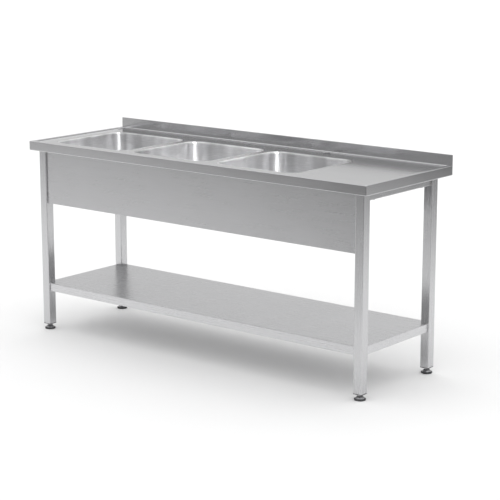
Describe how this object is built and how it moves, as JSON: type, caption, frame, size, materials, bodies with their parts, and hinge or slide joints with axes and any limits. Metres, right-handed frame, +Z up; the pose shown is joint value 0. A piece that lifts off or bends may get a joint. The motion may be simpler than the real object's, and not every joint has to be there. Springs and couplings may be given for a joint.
{
  "type": "three compartment sink",
  "caption": "Long stainless steel catering sink table: pressed square bowls in a row, drainboard at one end, low rear upstand, front apron, lower shelf, square legs on adjustable feet.",
  "frame": {"origin": "on the floor below the middle of the table, at the centre of its outline", "axes": "+X along the table towards the drainboard end, +Y towards the wall behind, +Z up"},
  "size_m": [1.8, 0.6, 0.893],
  "materials": {
    "worktop_sheet": "fine-brushed stainless, satin",
    "bowl_sheet": "deep-drawn stainless, polished satin",
    "frame_tube": "ground stainless tube, grain along its length",
    "panel_sheet": "fine-brushed stainless, satin",
    "shelf_sheet": "fine-brushed stainless, satin",
    "stiffener_sheet": "mill-finish stainless",
    "fastener_metal": "plain stainless",
    "foot_metal": "turned stainless",
    "foot_plastic": "moulded, fine texture",
    "waste_metal": "polished",
    "strainer_metal": "polished",
    "waste_nut_plastic": "moulded polypropylene",
    "seal_rubber": "moulded"
  },
  "bodies": {
    "table": {"bowl_centre": "bowl_sheet", "bowl_left": "bowl_sheet", "bowl_right": "bowl_sheet", "drainboard_channel_inner": "stiffener_sheet", "drainboard_channel_outer": "stiffener_sheet", "foot_insert_front_left": "foot_plastic", "foot_insert_front_right": "foot_plastic", "foot_insert_rear_left": "foot_plastic", "foot_insert_rear_right": "foot_plastic", "foot_lock_nuts": "fastener_metal", "front_panel": "panel_sheet", "leg_front_left": "frame_tube", "leg_front_right": "frame_tube", "leg_rear_left": "frame_tube", "leg_rear_right": "frame_tube", "panel_screws": "fastener_metal", "rail_front": "frame_tube", "rail_left": "frame_tube", "rail_rear": "frame_tube", "rail_right": "frame_tube", "shelf": "shelf_sheet", "shelf_bolts": "fastener_metal", "shelf_hat_front": "stiffener_sheet", "shelf_hat_rear": "stiffener_sheet", "shelf_rivet_nuts": "fastener_metal", "waste_body_centre": "waste_metal", "waste_body_left": "waste_metal", "waste_body_right": "waste_metal", "waste_nut_centre": "waste_nut_plastic", "waste_nut_left": "waste_nut_plastic", "waste_nut_right": "waste_nut_plastic", "waste_seal_lower_centre": "seal_rubber", "waste_seal_lower_left": "seal_rubber", "waste_seal_lower_right": "seal_rubber", "waste_seal_upper_centre": "seal_rubber", "waste_seal_upper_left": "seal_rubber", "waste_seal_upper_right": "seal_rubber", "worktop": "worktop_sheet", "worktop_bolts": "fastener_metal", "worktop_channel_front": "stiffener_sheet", "worktop_channel_left": "stiffener_sheet", "worktop_channel_rear": "stiffener_sheet", "worktop_channel_right": "stiffener_sheet", "worktop_nuts": "fastener_metal"},
    "foot_front_left": {"foot_stud_front_left": "foot_metal", "foot_pad_front_left": "foot_plastic"},
    "foot_front_right": {"foot_stud_front_right": "foot_metal", "foot_pad_front_right": "foot_plastic"},
    "foot_rear_left": {"foot_stud_rear_left": "foot_metal", "foot_pad_rear_left": "foot_plastic"},
    "foot_rear_right": {"foot_stud_rear_right": "foot_metal", "foot_pad_rear_right": "foot_plastic"},
    "strainer_left": {"strainer_left": "strainer_metal"},
    "strainer_centre": {"strainer_centre": "strainer_metal"},
    "strainer_right": {"strainer_right": "strainer_metal"}
  },
  "joints": [
    {"name": "foot_front_left_height", "type": "slide", "parent": "table", "child": "foot_front_left", "axis": [0, 0, -1], "range_m": [0, 0.025]},
    {"name": "foot_front_right_height", "type": "slide", "parent": "table", "child": "foot_front_right", "axis": [0, 0, -1], "range_m": [0, 0.025]},
    {"name": "foot_rear_left_height", "type": "slide", "parent": "table", "child": "foot_rear_left", "axis": [0, 0, -1], "range_m": [0, 0.025]},
    {"name": "foot_rear_right_height", "type": "slide", "parent": "table", "child": "foot_rear_right", "axis": [0, 0, -1], "range_m": [0, 0.025]},
    {"name": "strainer_left_lift", "type": "slide", "parent": "table", "child": "strainer_left", "axis": [0, 0, 1], "range_m": [0, 0.08]},
    {"name": "strainer_centre_lift", "type": "slide", "parent": "table", "child": "strainer_centre", "axis": [0, 0, 1], "range_m": [0, 0.08]},
    {"name": "strainer_right_lift", "type": "slide", "parent": "table", "child": "strainer_right", "axis": [0, 0, 1], "range_m": [0, 0.08]}
  ]
}
